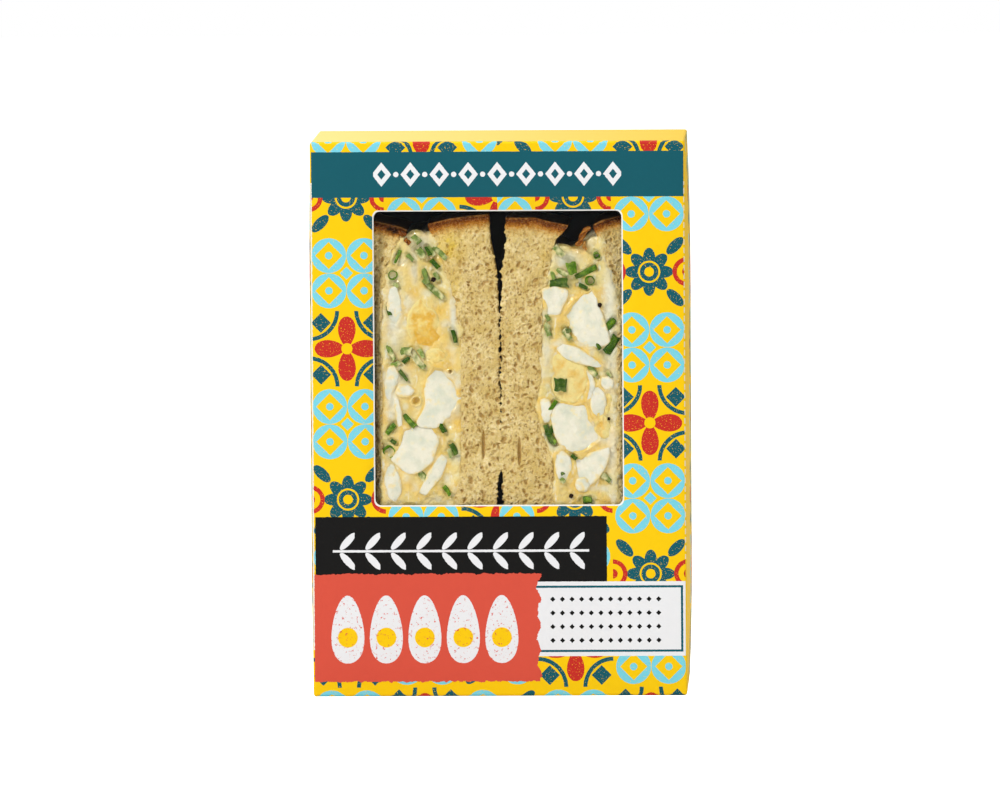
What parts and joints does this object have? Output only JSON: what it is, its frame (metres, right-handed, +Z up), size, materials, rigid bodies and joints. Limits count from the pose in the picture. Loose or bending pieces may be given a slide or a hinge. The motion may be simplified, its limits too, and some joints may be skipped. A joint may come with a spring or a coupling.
{
  "type": "boxed egg and chive sandwich",
  "caption": "Upright windowed card carton holding halves of an egg and chive sandwich on thick white bread, standing side by side with their cut faces to the window.",
  "frame": {"origin": "middle of the carton's base, on the surface it stands on", "axes": "+Z up, the window and the cut faces look along -Y, +X is to the right as seen from the window's side"},
  "size_m": [0.103, 0.06, 0.15],
  "materials": {
    "carton": "satin printed board",
    "window_film": "clear gloss film",
    "bread": "open white crumb with a brown crust",
    "filling": "moist egg, mayonnaise and chives"
  },
  "bodies": {
    "root": {"carton": "carton", "window_film": "window_film", "left_outer_slice": "bread", "left_filling": "filling", "left_inner_slice": "bread", "right_inner_slice": "bread", "right_filling": "filling", "right_outer_slice": "bread"}
  },
  "joints": []
}
